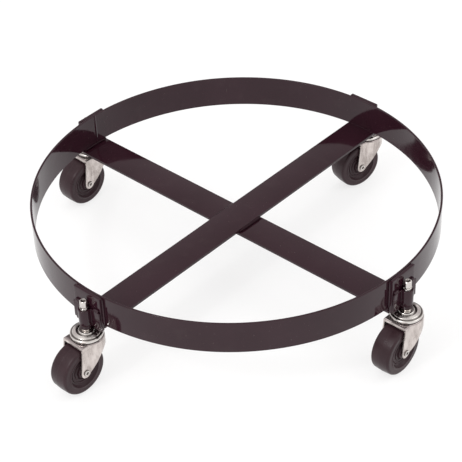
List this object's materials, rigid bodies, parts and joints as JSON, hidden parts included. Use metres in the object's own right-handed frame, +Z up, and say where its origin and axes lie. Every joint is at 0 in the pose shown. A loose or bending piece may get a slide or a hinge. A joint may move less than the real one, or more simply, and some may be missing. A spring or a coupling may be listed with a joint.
{
  "type": "drum dolly",
  "caption": "Round drum dolly: flat-band hoop on crossed flat bars, with stem casters in sockets on upright end plates outside the hoop.",
  "frame": {"origin": "on the hoop's axis, at floor level, under the centre of the cross", "axes": "+Z up along the hoop's axis; the upper cross bar runs along the line between +X and +Y, the lower one along the line between -X and +Y"},
  "size_m": [0.61, 0.61, 0.1551],
  "materials": {
    "black_paint": "glossy black paint",
    "zinc_plate": "dull zinc plate, slightly mottled",
    "bright_steel": "bright plated pressing",
    "hard_rubber": "matte solid rubber"
  },
  "bodies": {
    "frame": {"hoop": "black_paint", "cross_bar_upper": "black_paint", "cross_bar_lower": "black_paint", "end_plate_front_left": "black_paint", "end_plate_front_right": "black_paint", "end_plate_rear_right": "black_paint", "end_plate_rear_left": "black_paint", "stem_socket_front_left": "black_paint", "stem_socket_front_right": "black_paint", "stem_socket_rear_right": "black_paint", "stem_socket_rear_left": "black_paint", "collar_front_left": "black_paint", "collar_front_right": "black_paint", "collar_rear_right": "black_paint", "collar_rear_left": "black_paint", "stem_front_left": "zinc_plate", "stem_front_right": "zinc_plate", "stem_rear_right": "zinc_plate", "stem_rear_left": "zinc_plate", "grip_ring_front_left": "bright_steel", "grip_ring_front_right": "bright_steel", "grip_ring_rear_right": "bright_steel", "grip_ring_rear_left": "bright_steel", "raceway_front_left": "bright_steel", "raceway_front_right": "bright_steel", "raceway_rear_right": "bright_steel", "raceway_rear_left": "bright_steel", "ball_row_front_left": "bright_steel", "ball_row_front_right": "bright_steel", "ball_row_rear_right": "bright_steel", "ball_row_rear_left": "bright_steel", "lower_cup_front_left": "zinc_plate", "lower_cup_front_right": "zinc_plate", "lower_cup_rear_right": "zinc_plate", "lower_cup_rear_left": "zinc_plate"},
    "swivel_front_left": {"fork_front_left": "zinc_plate", "axle_rivet_front_left": "zinc_plate", "hub_sleeve_front_left": "zinc_plate"},
    "rolling_front_left": {"wheel_front_left": "hard_rubber"},
    "swivel_front_right": {"fork_front_right": "zinc_plate", "axle_rivet_front_right": "zinc_plate", "hub_sleeve_front_right": "zinc_plate"},
    "rolling_front_right": {"wheel_front_right": "hard_rubber"},
    "swivel_rear_right": {"fork_rear_right": "zinc_plate", "axle_rivet_rear_right": "zinc_plate", "hub_sleeve_rear_right": "zinc_plate"},
    "rolling_rear_right": {"wheel_rear_right": "hard_rubber"},
    "swivel_rear_left": {"fork_rear_left": "zinc_plate", "axle_rivet_rear_left": "zinc_plate", "hub_sleeve_rear_left": "zinc_plate"},
    "rolling_rear_left": {"wheel_rear_left": "hard_rubber"}
  },
  "joints": [
    {"name": "turn_front_left", "type": "hinge", "parent": "frame", "child": "swivel_front_left", "pos_m": [-0.22415, -0.22415, 0.0843], "axis": [0, 0, 1], "continuous": true},
    {"name": "roll_front_left", "type": "hinge", "parent": "swivel_front_left", "child": "rolling_front_left", "pos_m": [-0.24134, -0.24018, 0.0381], "axis": [0.682, -0.7314, 0], "continuous": true},
    {"name": "turn_front_right", "type": "hinge", "parent": "frame", "child": "swivel_front_right", "pos_m": [0.22415, -0.22415, 0.0843], "axis": [0, 0, 1], "continuous": true},
    {"name": "roll_front_right", "type": "hinge", "parent": "swivel_front_right", "child": "rolling_front_right", "pos_m": [0.20754, -0.24077, 0.0381], "axis": [0.7071, -0.7071, 0], "continuous": true},
    {"name": "turn_rear_right", "type": "hinge", "parent": "frame", "child": "swivel_rear_right", "pos_m": [0.22415, 0.22415, 0.0843], "axis": [0, 0, 1], "continuous": true},
    {"name": "roll_rear_right", "type": "hinge", "parent": "swivel_rear_right", "child": "rolling_rear_right", "pos_m": [0.20401, 0.21205, 0.0381], "axis": [0.515, -0.8572, 0], "continuous": true},
    {"name": "turn_rear_left", "type": "hinge", "parent": "frame", "child": "swivel_rear_left", "pos_m": [-0.22415, 0.22415, 0.0843], "axis": [0, 0, 1], "continuous": true},
    {"name": "roll_rear_left", "type": "hinge", "parent": "swivel_rear_left", "child": "rolling_rear_left", "pos_m": [-0.24134, 0.20813, 0.0381], "axis": [0.682, -0.7314, 0], "continuous": true}
  ]
}
